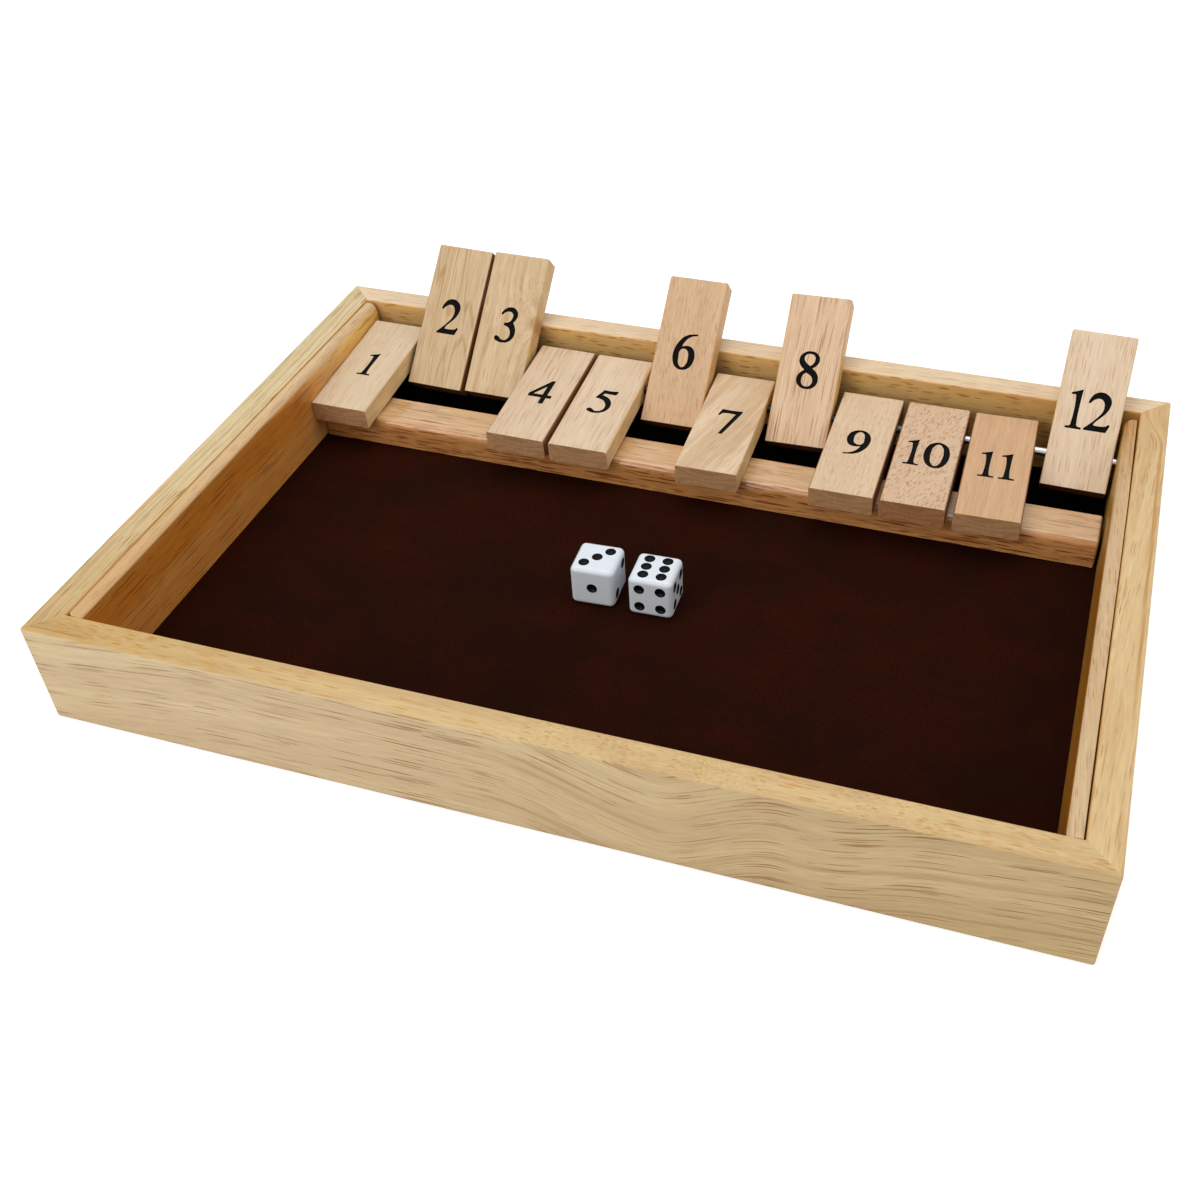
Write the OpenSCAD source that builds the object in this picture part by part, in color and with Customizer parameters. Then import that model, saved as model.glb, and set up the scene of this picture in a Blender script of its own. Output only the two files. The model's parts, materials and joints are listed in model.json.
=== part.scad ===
/* [Frame] */
// Outside length of the box, left to right
box_l = 343; // [320:1:380]
// Outside width of the box, front to back
box_w = 236; // [220:1:270]
// Height of the frame
box_h = 39.5; // [38:0.5:46]
// Thickness of the four walls
wall_t = 10.5; // [8:0.5:13]
// Rounding of the upright outer corners
corner_r = 1; // [0.5:0.5:4]
// Easing of the long edges of the walls
edge_r = 0.8; // [0.3:0.1:1.5]

/* [Floor] */
// Thickness of the base board let into the walls from below
base_t = 5; // [3:0.5:8]
// How far the walls are rebated over the base board
base_rebate = 5; // [3:0.5:6]
// Thickness of the stiff board under the mat
board_t = 3; // [2:0.5:4]
// Thickness of the leatherette mat
mat_t = 1; // [0.8:0.1:2]
// Gap left round each floor layer
floor_fit = 0.2; // [0.1:0.1:0.5]

/* [Side strips] */
// Thickness of the two strips that carry the rod
strip_t = 5; // [4:0.25:7]
// Slit between a strip and its wall
strip_slit = 0.3; // [0.2:0.1:0.8]
// Drop from the top of the walls to the top of the strips
strip_drop = 0.3; // [0.2:0.1:5]
// Gap between the left strip and the back wall
strip_gap_left = 1.8; // [0.3:0.1:6]
// Gap between the right strip and the back wall
strip_gap_right = 4.9; // [0.3:0.1:6]
// Rounding of the strips' upper inside edge
strip_r = 3.5; // [1:0.5:4]

/* [Tile rail] */
// Depth of the rail that the shut tiles lie on, front to back
rail_d = 17.5; // [12:0.5:20]
// Height of the rail above the mat
rail_h = 11.2; // [9:0.1:12.5]
// From the back wall to the front of the rail
rail_reach = 58.3; // [54:0.1:60]
// Rounding of the rail's upper front edge
rail_r = 2.5; // [1:0.5:4]
// Easing of the rail's other edges
rail_ease = 1; // [0.5:0.1:1.5]
// Gap at the left end of the rail
rail_gap_left = 0.2; // [0.1:0.1:1]
// Gap at the right end of the rail
rail_gap_right = 1.3; // [0.1:0.1:2]

/* [Hinge rod] */
// Diameter of the steel rod
rod_d = 3; // [2:0.5:4]
// From the back wall to the middle of the rod
rod_back = 18.2; // [17:0.1:20]
// Height of the middle of the rod above the mat
rod_rise = 18.9; // [18:0.1:20]
// Clearance all round the rod in the tiles
tile_bore_fit = 0.08; // [0.02:0.01:0.1]
// Clearance all round the rod in the strips
strip_bore_fit = 0.04; // [0.02:0.01:0.1]

/* [Tiles] */
// Length of a tile
tile_l = 59.6; // [56:0.1:64]
// Thickness of a tile
tile_t = 8.7; // [7:0.1:10]
// From the middle of the rod to the back end of a tile
tile_tail = 12.8; // [8:0.1:14]
// Play of the whole row of tiles along the rod
tile_play = 22; // [12:0.5:26]
// Easing of the tiles' edges
tile_r = 0.8; // [0.3:0.1:1.5]
// Gap left between a tile and the wood it comes to rest on
stop_gap = 0.15; // [0.1:0.05:0.4]

/* [Numerals] */
// Height of a numeral
numeral_h = 14.8; // [10:0.1:17]
// Depth of the cut of a numeral
numeral_cut = 0.4; // [0.2:0.1:0.8]

/* [Dice] */
// Edge of a die
die_s = 16; // [12:0.5:18]
// Rounding of a die's edges
die_r = 1.6; // [0.5:0.1:2.5]
// Diameter of a pip
pip_d = 3.9; // [2.4:0.1:4.2]
// Depth of a pip
pip_cut = 0.7; // [0.3:0.1:0.8]
// Spacing of the pips, from the middle of a face
pip_pitch = 3.8; // [2.5:0.1:4]
// Place of the left die, left to right
die_left_x = -12.4; // [-60:0.1:-12]
// Place of the right die, left to right
die_right_x = 9.1; // [9:0.1:60]
// Place of both dice, front to back
dice_y = -14.3; // [-60:0.1:0]
// Turn of the left die
die_left_turn = 2.7; // [0:0.1:6]
// Turn of the right die
die_right_turn = 1.9; // [0:0.1:6]

/* [Hidden] */
$fn = 48;

// Cuts run past the faces they open by this much
past = 1;

// Inside of the frame, from the middle to the walls
tray_x = box_l / 2 - wall_t;
tray_y = box_w / 2 - wall_t;

// Top of the mat, where the dice roll and the strips and rail stand
mat_top = base_t + board_t + mat_t;

// Inner faces of the strips
strip_in = tray_x - strip_slit - strip_t;
strip_top = box_h - strip_drop;

// Middle of the rod
rod_y = tray_y - rod_back;
rod_z = mat_top + rod_rise;
rod_l = 2 * (tray_x - strip_slit);

// Front and top of the rail
rail_y = tray_y - rail_reach;
rail_top = mat_top + rail_h;

// The row of tiles: each slides a little on the rod, so the gaps are uneven, from the left
// strip to the right one, and their sum is the play
tile_count = 12;
tile_gaps = [0.5, 1.45, 1.5, 1.25, 1.4, 1.9, 1.05, 1.9, 1.6, 1.8, 1.95, 4.3, 1.4];
tile_w = (2 * strip_in - tile_play) / tile_count;
raised_tiles = [2, 3, 6, 8, 12];

function total(list, n) = n == 0 ? 0 : list[n - 1] + total(list, n - 1);
function tile_left(n) = -strip_in + (n - 1) * tile_w
    + tile_play * total(tile_gaps, n) / total(tile_gaps, tile_count + 1);

// A tile meets a rounded edge of radius r whose middle lies y along and z above or below the
// rod. These are the angles to that middle and from there to the tile's own middle line.
function edge_angle(y, z) = atan2(z, y);
function tile_angle(y, z, r) = asin((tile_t / 2 + r + stop_gap) / norm([y, z]));

// Tilt of a shut tile below level, set by whichever edge of the rail it reaches first
function rail_tilt(y, z, r) = edge_angle(y, z) - tile_angle(y, z, r);
shut_tilt = min(
    rail_tilt(rod_y - rail_y - rail_r, rod_z - rail_top + rail_r, rail_r),
    rail_tilt(rod_y - rail_y - rail_d + rail_ease, rod_z - rail_top + rail_ease, rail_ease));

// Lean of a raised tile above level, where it rests on the back wall's inner edge
back_y = rod_back + edge_r;
back_z = box_h - edge_r - rod_z;
raised_lean = 180 - edge_angle(back_y, back_z) - tile_angle(back_y, back_z, edge_r);

// Outlines of the digits, one high. Each point is [across, up, corner], where corner is 1 for a
// sharp point and 0 where the outline runs through it in a curve. A digit is a list of
// outlines: the outside first, then the holes. The last value of DIGIT_SIDE is the space
// that a digit keeps on either side.
ONE = [[[0, 0.865, 1], [0.005, 0.9, 1], [0.13, 0.945, 0], [0.255, 1, 1], [0.245, 0.85, 0],
    [0.245, 0.15, 0], [0.265, 0.065, 0], [0.375, 0.035, 1], [0.375, 0, 1], [0, 0, 1],
    [0, 0.035, 1], [0.105, 0.06, 0], [0.125, 0.15, 0], [0.125, 0.78, 0], [0.1, 0.865, 0]]];
TWO = [[[0, 0.715, 1], [0.04, 0.84, 0], [0.14, 0.96, 0], [0.28, 1, 0], [0.43, 0.95, 0],
    [0.525, 0.83, 0], [0.53, 0.69, 0], [0.46, 0.51, 0], [0.34, 0.36, 0], [0.21, 0.195, 0],
    [0.2, 0.14, 1], [0.4, 0.14, 0], [0.52, 0.165, 0], [0.575, 0.215, 1], [0.6, 0.19, 1],
    [0.535, 0.015, 1], [0, 0.01, 1], [0, 0.04, 1], [0.13, 0.17, 0], [0.27, 0.335, 0],
    [0.38, 0.51, 0], [0.4, 0.66, 0], [0.36, 0.79, 0], [0.26, 0.85, 0], [0.13, 0.81, 0],
    [0.03, 0.7, 1]]];
THREE = [[[0.065, 0.8, 1], [0.14, 0.92, 0], [0.31, 1, 0], [0.47, 0.95, 0], [0.545, 0.8, 0],
    [0.51, 0.67, 0], [0.45, 0.58, 1], [0.53, 0.46, 0], [0.565, 0.31, 0], [0.53, 0.16, 0],
    [0.42, 0.04, 0], [0.26, 0, 0], [0.1, 0.02, 0], [0.01, 0.08, 0], [0.03, 0.155, 0],
    [0.1, 0.145, 0], [0.2, 0.07, 0], [0.31, 0.06, 0], [0.41, 0.14, 0], [0.435, 0.28, 0],
    [0.39, 0.4, 0], [0.31, 0.46, 0], [0.21, 0.49, 1], [0.2, 0.535, 1], [0.35, 0.59, 0],
    [0.42, 0.71, 0], [0.4, 0.84, 0], [0.29, 0.89, 0], [0.17, 0.85, 0], [0.09, 0.775, 1]]];
FOUR = [[[0.45, 1, 1], [0.52, 1, 1], [0.515, 0.36, 1], [0.65, 0.36, 1], [0.65, 0.25, 1],
    [0.515, 0.25, 1], [0.515, 0, 1], [0.395, 0, 1], [0.395, 0.25, 1], [0.01, 0.25, 1],
    [0, 0.36, 1]], [[0.11, 0.36, 1], [0.395, 0.36, 1], [0.395, 0.76, 1]]];
FIVE = [[[0.205, 0.985, 1], [0.4, 0.975, 0], [0.575, 1, 1], [0.6, 0.98, 1], [0.57, 0.85, 1],
    [0.25, 0.86, 1], [0.21, 0.76, 1], [0.36, 0.71, 0], [0.5, 0.58, 0], [0.565, 0.4, 0],
    [0.55, 0.22, 0], [0.44, 0.07, 0], [0.27, 0, 0], [0.1, 0.02, 0], [0.005, 0.09, 0],
    [0.04, 0.16, 0], [0.12, 0.145, 0], [0.21, 0.075, 0], [0.33, 0.08, 0], [0.42, 0.16, 0],
    [0.45, 0.29, 0], [0.4, 0.46, 0], [0.28, 0.58, 0], [0.07, 0.64, 1]]];
SIX = [[[0.57, 1, 1], [0.575, 0.97, 1], [0.4, 0.92, 0], [0.26, 0.78, 0], [0.19, 0.61, 1],
    [0.34, 0.65, 0], [0.49, 0.61, 0], [0.58, 0.46, 0], [0.585, 0.25, 0], [0.5, 0.08, 0],
    [0.31, 0, 0], [0.13, 0.06, 0], [0.02, 0.25, 0], [0.01, 0.48, 0], [0.1, 0.74, 0],
    [0.28, 0.93, 0]], [[0.18, 0.54, 0], [0.28, 0.58, 0], [0.39, 0.52, 0], [0.435, 0.35, 0],
    [0.41, 0.15, 0], [0.31, 0.055, 0], [0.21, 0.11, 0], [0.155, 0.31, 0]]];
SEVEN = [[[0.07, 1, 1], [0.32, 0.985, 0], [0.61, 1, 1], [0.6, 0.92, 1], [0.305, 0, 1],
    [0.215, 0, 1], [0.47, 0.86, 1], [0.2, 0.865, 0], [0.09, 0.83, 0], [0.045, 0.75, 1],
    [0.01, 0.765, 1]]];
EIGHT = [[[0.27, 1, 0], [0.45, 0.945, 0], [0.525, 0.81, 0], [0.48, 0.66, 0], [0.36, 0.555, 1],
    [0.51, 0.43, 0], [0.565, 0.26, 0], [0.5, 0.08, 0], [0.29, 0, 0], [0.09, 0.07, 0],
    [0.01, 0.22, 0], [0.06, 0.39, 0], [0.18, 0.5, 1], [0.05, 0.62, 0], [0, 0.77, 0],
    [0.08, 0.93, 0]], [[0.27, 0.945, 0], [0.39, 0.9, 0], [0.425, 0.79, 0], [0.38, 0.67, 0],
    [0.31, 0.6, 1], [0.16, 0.71, 0], [0.115, 0.82, 0], [0.17, 0.92, 0]],
    [[0.23, 0.44, 1], [0.4, 0.33, 0], [0.44, 0.2, 0], [0.39, 0.09, 0], [0.28, 0.05, 0],
    [0.16, 0.1, 0], [0.125, 0.23, 0], [0.15, 0.36, 0]]];
ZERO = [[[0.31, 1, 0], [0.49, 0.92, 0], [0.6, 0.71, 0], [0.625, 0.47, 0], [0.57, 0.19, 0],
    [0.45, 0.035, 0], [0.32, 0, 0], [0.14, 0.08, 0], [0.03, 0.29, 0], [0, 0.53, 0],
    [0.05, 0.8, 0], [0.16, 0.95, 0]], [[0.31, 0.94, 0], [0.42, 0.85, 0], [0.475, 0.65, 0],
    [0.48, 0.42, 0], [0.43, 0.17, 0], [0.32, 0.06, 0], [0.22, 0.14, 0], [0.155, 0.38, 0],
    [0.15, 0.6, 0], [0.2, 0.85, 0]]];
// A nine is a six turned upside down
NINE = [for (path = SIX) [for (p = path) [0.585 - p[0], 1 - p[1], p[2]]]];
DIGITS = [ZERO, ONE, TWO, THREE, FOUR, FIVE, SIX, SEVEN, EIGHT, NINE];
DIGIT_W = [0.625, 0.375, 0.6, 0.565, 0.65, 0.6, 0.585, 0.61, 0.565, 0.585];
DIGIT_SIDE = [0.02, 0.065, 0.01, 0.03, 0.02, 0.03, 0.02, 0.03, 0.03, 0.02];

// Straight pieces that each curved stretch of a digit is drawn with
digit_steps = 3;

function unit(v) = v / norm(v);
function at(path, i) = let (p = path[(i + len(path)) % len(path)]) [p[0], p[1]];
function is_corner(path, i) = path[(i + len(path)) % len(path)][2] == 1;
// Direction and pace of the outline at point i, on the stretch that runs along chord
function run(path, i, chord) = is_corner(path, i) ? chord
    : unit(at(path, i + 1) - at(path, i - 1)) * norm(chord);
function on_curve(a, b, run_a, run_b, t) = a * (1 + t * t * (2 * t - 3)) + b * t * t * (3 - 2 * t)
    + run_a * t * (t - 1) * (t - 1) + run_b * t * t * (t - 1);
function outline(path) = [for (i = [0 : len(path) - 1])
    let (a = at(path, i), b = at(path, i + 1), chord = b - a,
        straight = is_corner(path, i) && is_corner(path, i + 1),
        steps = straight ? 1 : digit_steps)
    for (s = [0 : steps - 1])
        on_curve(a, b, run(path, i, chord), run(path, i + 1, chord), s / steps)];

// The digits of a tile's number, from the left, and where each one starts
function digits_of(n) = n < 10 ? [n] : [floor(n / 10), n % 10];
function digit_room(d) = DIGIT_W[d] + 2 * DIGIT_SIDE[d];
function number_w(digits) = total([for (d = digits) digit_room(d)], len(digits));

// A rectangle from the origin, with corners rounded by r = [near left, near right, far right,
// far left]
module soft_rect(w, h, r) {
    difference() {
        square([w, h]);
        for (c = [[0, 0, 0], [w, 0, 90], [w, h, 180], [0, h, 270]])
            let (radius = r[c[2] / 90])
                translate([c[0], c[1]]) rotate(c[2]) difference() {
                    translate([-past, -past]) square(radius + past);
                    translate([radius, radius]) circle(radius);
                }
    }
}

module soft_rect_mid(w, h, r) {
    translate([-w / 2, -h / 2]) soft_rect(w, h, [r, r, r, r]);
}

// An outline in the Y-Z plane, run out along X from the middle both ways
module along_x(length) {
    rotate([90, 0, 90]) linear_extrude(length, center = true) children();
}

// An outline in the X-Z plane, run out along Y from the middle both ways
module along_y(length) {
    rotate([90, 0, 0]) linear_extrude(length, center = true) children();
}

// A block about the origin with every edge rounded by r
module soft_block(x, y, z, r) {
    intersection() {
        linear_extrude(z, center = true) soft_rect_mid(x, y, r);
        along_x(x) soft_rect_mid(y, z, r);
        along_y(y) soft_rect_mid(x, z, r);
    }
}

// One wall, standing at the front, mitred at both ends and rebated for the base board. The
// other three are the same wall turned about the middle.
module wall(length, out) {
    intersection() {
        linear_extrude(box_h) intersection() {
            soft_rect_mid(length, 2 * out, corner_r);
            polygon([[-length / 2, -out], [length / 2, -out],
                [length / 2 - wall_t, wall_t - out], [wall_t - length / 2, wall_t - out]]);
        }
        translate([0, -out, 0]) along_x(length) difference() {
            soft_rect(wall_t, box_h, [edge_r, 0, edge_r, edge_r]);
            translate([wall_t - base_rebate, -past])
                square([base_rebate + past, base_t + past]);
        }
    }
}

module front_wall() { color("#E6CFA4") wall(box_l, box_w / 2); }
module right_wall() { color("#E3CA9D") rotate(90) wall(box_w, box_l / 2); }
module back_wall() { color("#E6CFA4") rotate(180) wall(box_l, box_w / 2); }
module left_wall() { color("#E3CA9D") rotate(270) wall(box_w, box_l / 2); }

// A sheet about the middle of the box, that clears what is round it by the floor's fit
module floor_sheet(half_x, half_y, from, thick) {
    translate([floor_fit - half_x, floor_fit - half_y, from])
        cube([2 * (half_x - floor_fit), 2 * (half_y - floor_fit), thick]);
}

module base_board() {
    color("#C9A878") floor_sheet(tray_x + base_rebate, tray_y + base_rebate, 0, base_t);
}
module mat_board() { color("#6B5038") floor_sheet(tray_x, tray_y, base_t, board_t); }
module playing_mat() { color("#2A1610") floor_sheet(tray_x, tray_y, base_t + board_t, mat_t); }

// The strip on the right, bored right through for the rod, with a gap behind it
module strip(gap) {
    difference() {
        translate([strip_in, -gap / 2, mat_top]) along_y(2 * tray_y - gap)
            soft_rect(strip_t, strip_top - mat_top, [0, 0, edge_r, strip_r]);
        translate([strip_in - past, rod_y, rod_z]) rotate([0, 90, 0])
            cylinder(h = strip_t + 2 * past, d = rod_d + 2 * strip_bore_fit);
    }
}
module right_strip() { color("#DDB67E") strip(strip_gap_right); }
module left_strip() { color("#DDB67E") mirror([1, 0, 0]) strip(strip_gap_left); }

module tile_rail() {
    rail_l = 2 * strip_in - rail_gap_left - rail_gap_right;
    color("#DBAE72") translate([(rail_gap_left - rail_gap_right) / 2, rail_y, mat_top])
        intersection() {
            along_x(rail_l) soft_rect(rail_d, rail_h, [0, 0, rail_ease, rail_r]);
            linear_extrude(rail_h) translate([0, rail_d / 2])
                soft_rect_mid(rail_l, rail_d, rail_ease);
        }
}

module hinge_rod() {
    color("#C8CBCE") translate([-rod_l / 2, rod_y, rod_z]) rotate([0, 90, 0])
        cylinder(h = rod_l, d = rod_d);
}

module digit(d) {
    difference() {
        polygon(outline(DIGITS[d][0]));
        for (i = [1 : 1 : len(DIGITS[d]) - 1]) polygon(outline(DIGITS[d][i]));
    }
}

// A whole number, with its middle at the origin
module numeral(n) {
    digits = digits_of(n);
    rooms = [for (d = digits) digit_room(d)];
    scale(numeral_h) translate([-number_w(digits) / 2, -1 / 2])
        for (i = [0 : len(digits) - 1])
            translate([total(rooms, i) + DIGIT_SIDE[digits[i]], 0]) digit(digits[i]);
}

// A tile lying level with its rod hole at the origin and its free end to the front. Its number
// is cut into both faces, to be read from the front whether the tile is shut or raised.
module flat_tile(n) {
    middle_y = tile_tail - tile_l / 2;
    difference() {
        translate([tile_w / 2, middle_y, 0]) soft_block(tile_w, tile_l, tile_t, tile_r);
        translate([-past, 0, 0]) rotate([0, 90, 0])
            cylinder(h = tile_w + 2 * past, d = rod_d + 2 * tile_bore_fit);
        for (turn = [0, 180]) translate([tile_w / 2, middle_y, 0]) rotate([turn, 0, 0])
            translate([0, 0, tile_t / 2 - numeral_cut]) linear_extrude(numeral_cut + past)
                numeral(n);
    }
}

module tile(n) {
    up = len(search(n, raised_tiles)) > 0;
    color(n % 2 == 0 ? "#E0BD92" : "#E4C79C") translate([tile_left(n), rod_y, rod_z])
        rotate([up ? -raised_lean : shut_tilt, 0, 0]) flat_tile(n);
}

// Places of the pips of a face, in pitches from its middle
PIPS_1 = [[0, 0]];
PIPS_2 = [[-1, -1], [1, 1]];
PIPS_4 = [for (x = [-1, 1], y = [-1, 1]) [x, y]];
// the two rows of a six stand a little closer together, and their pips further apart
six_across = 0.87;
six_along = 1.15;
PIPS_6 = [for (x = [-1, 1], y = [-1, 0, 1]) [six_across * x, six_along * y]];
PIPS = [PIPS_1, PIPS_2, concat(PIPS_2, PIPS_1), PIPS_4, concat(PIPS_4, PIPS_1), PIPS_6];

// Turns that bring the top of a die to its top, front, right, back, left and bottom
FACE_TURNS = [[0, 0, 0], [90, 0, 0], [90, 0, 90], [90, 0, 180], [90, 0, 270], [180, 0, 0]];

// A die on the mat. faces gives its numbers on the top, front and right: each number and the
// one opposite make seven.
module die(x, turn, faces) {
    numbers = [faces[0], faces[1], faces[2], 7 - faces[1], 7 - faces[2], 7 - faces[0]];
    // a pip is a cap of this ball
    ball_r = (pip_d * pip_d / 4 + pip_cut * pip_cut) / (2 * pip_cut);
    translate([x, dice_y, mat_top + die_s / 2]) rotate(turn) difference() {
        soft_block(die_s, die_s, die_s, die_r);
        for (side = [0 : 5]) rotate(FACE_TURNS[side]) for (p = PIPS[numbers[side] - 1])
            translate([p[0] * pip_pitch, p[1] * pip_pitch, die_s / 2 + ball_r - pip_cut])
                sphere(ball_r);
    }
}
module die_left() { color("#F4F3F0") die(die_left_x, die_left_turn, [3, 1, 2]); }
module die_right() { color("#F4F3F0") die(die_right_x, die_right_turn, [6, 4, 5]); }

front_wall();
back_wall();
left_wall();
right_wall();
base_board();
mat_board();
playing_mat();
left_strip();
right_strip();
tile_rail();
hinge_rod();
for (n = [1 : tile_count]) tile(n);
die_left();
die_right();
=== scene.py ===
"""The looks of the shut the box game: a wooden dice tray, twelve numbered tiles on a steel rod,
and two dice. Lengths are in millimetres until a piece is placed, and the frame is in metres."""

import json
import math
import random

import bpy
import bmesh
from mathutils import Euler, Matrix, Vector


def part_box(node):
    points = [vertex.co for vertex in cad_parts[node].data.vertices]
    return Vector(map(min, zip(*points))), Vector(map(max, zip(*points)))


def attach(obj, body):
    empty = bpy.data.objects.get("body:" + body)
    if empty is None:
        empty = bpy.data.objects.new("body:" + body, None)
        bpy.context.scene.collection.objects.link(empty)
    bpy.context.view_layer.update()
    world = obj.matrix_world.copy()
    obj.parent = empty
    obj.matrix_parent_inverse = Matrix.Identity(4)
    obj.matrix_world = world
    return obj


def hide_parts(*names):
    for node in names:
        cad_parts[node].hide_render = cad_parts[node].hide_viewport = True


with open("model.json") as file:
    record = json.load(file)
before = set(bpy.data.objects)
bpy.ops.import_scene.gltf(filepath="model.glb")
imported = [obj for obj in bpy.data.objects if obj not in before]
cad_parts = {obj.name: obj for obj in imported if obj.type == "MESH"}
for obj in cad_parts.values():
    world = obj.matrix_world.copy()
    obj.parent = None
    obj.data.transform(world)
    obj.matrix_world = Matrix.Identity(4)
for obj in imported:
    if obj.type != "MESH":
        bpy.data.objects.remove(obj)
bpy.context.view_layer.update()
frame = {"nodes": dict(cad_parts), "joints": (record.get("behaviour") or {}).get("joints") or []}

MM = 0.001

# ---- sizes
# Those that line up with another piece come from the frame.


def span(node):
    """Lowest and highest corner of a CAD node, in millimetres."""
    low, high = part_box(node)
    return low / MM, high / MM


# How near to a face an edge counts as on it, and how near a point counts as in it
NEAR, HAIR = 0.01, 0.001

FLOOR_FIT = 0.2
BASE_T = 5
BOX_X = span("right_wall")[1].x
BOX_Y = span("back_wall")[1].y
BOX_H = span("back_wall")[1].z
TRAY_X, TRAY_Y = (value + FLOOR_FIT for value in span("playing_mat")[1][:2])
REBATE = span("base_board")[1].x - TRAY_X
WALL_T = BOX_X - TRAY_X

# The rod, as the joints place it
ROD_Y, ROD_Z = (value / MM for value in frame["joints"][0]["pos_m"][1:])
ROD_R = (span("hinge_rod")[1].z - span("hinge_rod")[0].z) / 2
ROD_EASE = 0.3
STRIP_BORE_PLAY, TILE_BORE_PLAY = 0.3, 0.25

TILE_L, TILE_T, TILE_TAIL = 59.6, 8.7, 12.8
TILE_MIDDLE = TILE_TAIL - TILE_L / 2
STOP_GAP = 0.15
RAISED = (2, 3, 6, 8, 12)
NUMERAL_H, NUMERAL_CUT, NUMERAL_BOLD = 14.8, 0.4, 0.15

WALL_EASE, BOX_CORNER, FOOT_EASE, INSIDE_EASE = 0.8, 0.9, 0.6, 0.8
BASE_EASE = 0.5
RAIL_R, RAIL_DEEPEN, RAIL_BACK_EASE, RAIL_END_EASE = 2.5, 1.7, 1, 1.2

# The left strip is -1 and the right strip 1
STRIP_R = {-1: 4.3, 1: 3.5}
STRIP_FLATTEN, STRIP_DEEPEN = 0.5, {-1: 1.8, 1: 1.1}
STRIP_CORNER, STRIP_EASE, STRIP_END_EASE = 2.2, 0.3, 1.5
# Where the strips' rounding changes, front and back, and the width of the slit at each end
STRIP_CHANGE = (8, 48)
STRIP_SLITS = {-1: (0.2, 0.25), 1: (0.3, 0.5)}

# The leatherette: how finely it is cut up, its humps, and how its edges roll under
MAT_CUTS, MAT_HUMPS, MAT_DIP = 60, 40, 0.18
MAT_ROLL, MAT_ROLL_W = 0.35, 1.5

SMOOTH_ANGLE = math.radians(35)


def edge_angles(y, z, radius):
    """Angle from the rod to the middle of a rounded edge, and from there to a tile on it."""
    return math.atan2(z, y), math.asin((TILE_T / 2 + radius + STOP_GAP) / math.hypot(y, z))


def tile_tilts():
    """Angle of a shut tile below level and of a raised tile above it, as Euler turns."""
    rail_low, rail_high = span("tile_rail")
    to_edge, to_tile = edge_angles(
        ROD_Y - rail_low.y - RAIL_R, ROD_Z - rail_high.z + RAIL_R, RAIL_R)
    shut = to_edge - to_tile
    to_edge, to_tile = edge_angles(
        TRAY_Y + WALL_EASE - ROD_Y, BOX_H - WALL_EASE - ROD_Z, WALL_EASE)
    return shut, to_edge + to_tile - math.pi


SHUT_TURN, RAISED_TURN = tile_tilts()


def tile_place(number):
    """Where a flat tile with its rod hole at the origin goes: its left end on the rod and its
    turn about the rod."""
    low, _ = span(f"tile_{number}")
    turn = RAISED_TURN if number in RAISED else SHUT_TURN
    return Vector((low.x, ROD_Y, ROD_Z)), Euler((turn, 0, 0))


# ---- modelling


def deselect():
    if bpy.context.object and bpy.context.object.mode != "OBJECT":
        leave()
    bpy.ops.object.select_all(action="DESELECT")


def pick(piece):
    deselect()
    piece.select_set(True)
    bpy.context.view_layer.objects.active = piece


def settle(piece):
    """Moves a piece's place, turn and size into its mesh."""
    pick(piece)
    bpy.ops.object.transform_apply(location=True, rotation=True, scale=True)
    return piece


def block(name, low, high):
    """A cube primitive stretched from one corner to the other."""
    deselect()
    low, high = Vector(low), Vector(high)
    bpy.ops.mesh.primitive_cube_add(size=1, location=(low + high) / 2, scale=high - low)
    piece = bpy.context.object
    piece.name = name
    return settle(piece)


def choose(piece, kind, wanted=lambda element: True):
    """Selects in edit mode the piece's verts, edges or faces that wanted() accepts."""
    pick(piece)
    bpy.ops.object.mode_set(mode="EDIT")
    bpy.ops.mesh.select_mode(type=kind)
    bpy.ops.mesh.select_all(action="DESELECT")
    mesh = bmesh.from_edit_mesh(piece.data)
    for element in {"VERT": mesh.verts, "EDGE": mesh.edges, "FACE": mesh.faces}[kind]:
        if wanted(element):
            element.select_set(True)
    mesh.select_flush_mode()
    bmesh.update_edit_mesh(piece.data)


def leave():
    bpy.ops.object.mode_set(mode="OBJECT")


def saw(piece, at, outward):
    """Cuts off what lies beyond a plane, and closes the cut."""
    choose(piece, "FACE")
    bpy.ops.mesh.bisect(plane_co=at, plane_no=outward, use_fill=True, clear_outer=True)
    leave()


def ease(piece, width, wanted, segments=4):
    """Rounds over the edges that wanted() accepts."""
    choose(piece, "EDGE", wanted)
    bpy.ops.mesh.bevel(offset=width, offset_type="OFFSET", segments=segments, profile=0.5,
        affect="EDGES", clamp_overlap=True)
    leave()


def apply(piece, kind, **settings):
    """Adds a modifier, sets it and applies it."""
    pick(piece)
    modifier = piece.modifiers.new(kind.lower(), kind)
    for key, value in settings.items():
        setattr(modifier, key, value)
    bpy.ops.object.modifier_apply(modifier=modifier.name)


def carve(piece, cutter):
    """Takes the cutter's shape out of a piece, whose new faces keep the cutter's finish."""
    apply(piece, "BOOLEAN", operation="DIFFERENCE", object=cutter, solver="EXACT",
        material_mode="TRANSFER")
    bpy.data.objects.remove(cutter)


def join(pieces):
    pick(pieces[0])
    for piece in pieces[1:]:
        piece.select_set(True)
    bpy.ops.object.join()
    return bpy.context.object


def drill(radius, low, high, finish):
    """A cutter for a hole along X, from one point to the other, with the hole's finish."""
    deselect()
    low, high = Vector(low), Vector(high)
    bpy.ops.mesh.primitive_cylinder_add(vertices=32, radius=radius, depth=(high - low).length,
        location=(low + high) / 2, rotation=(0, math.pi / 2, 0))
    cutter = settle(bpy.context.object)
    cutter.data.materials.append(finish)
    return cutter


def dress(piece, *finishes):
    piece.data.materials.clear()
    for finish in finishes:
        piece.data.materials.append(finish)


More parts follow.
